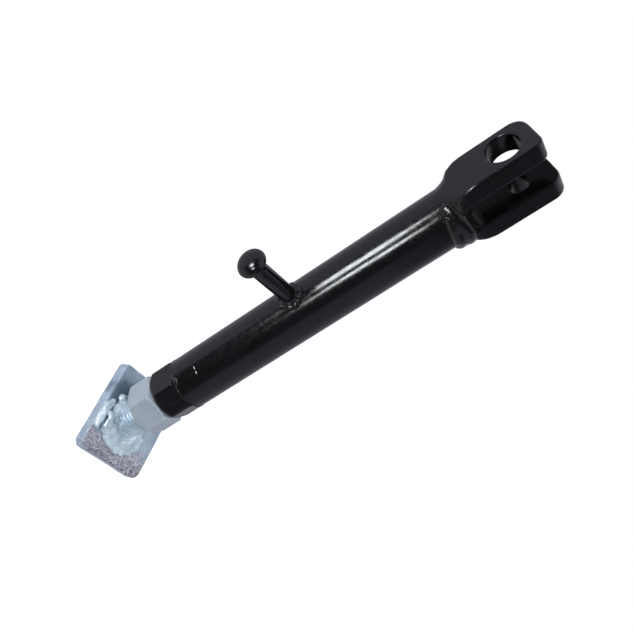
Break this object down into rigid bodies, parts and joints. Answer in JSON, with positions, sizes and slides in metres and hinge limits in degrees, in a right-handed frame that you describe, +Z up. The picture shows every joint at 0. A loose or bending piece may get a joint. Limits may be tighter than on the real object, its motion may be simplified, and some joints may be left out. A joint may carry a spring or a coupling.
{
  "type": "motorcycle side stand",
  "caption": "Side stand leg for a motorcycle: clevis fork on top, spring post on the tube, screw-adjusted foot with lock nut and tilted ground plate.",
  "frame": {"origin": "centre of the pivot bore, midway between the two ears of the fork", "axes": "+Z up the leg axis from foot to fork, pivot bore along Y, spring post towards -Y, +X completes the right hand"},
  "size_m": [0.0416, 0.0725, 0.2538],
  "materials": {
    "black_paint": "gloss",
    "zinc_plate": "satin",
    "zinc_weld": "satin"
  },
  "bodies": {
    "leg": {"leg_tube": "black_paint", "clevis_fork": "black_paint", "fork_weld": "black_paint", "spring_post": "black_paint", "post_weld": "black_paint", "weld_nut": "black_paint", "nut_weld": "black_paint"},
    "lock_nut": {"jam_nut": "zinc_plate"},
    "foot": {"threaded_stud": "zinc_plate", "foot_plate": "zinc_plate", "foot_weld": "zinc_weld"}
  },
  "joints": [
    {"name": "foot_turn", "type": "hinge", "parent": "leg", "child": "lock_nut", "pos_m": [0, 0, -0.1985], "axis": [0, 0, -1], "range_deg": [-180, 3600]},
    {"name": "foot_extend", "type": "slide", "parent": "lock_nut", "child": "foot", "axis": [0, 0, -1], "range_m": [-0.001, 0.02]}
  ],
  "couplings": [
    {"joint": "foot_turn", "follows": "foot_extend", "rad_per_m": 3141.6}
  ]
}
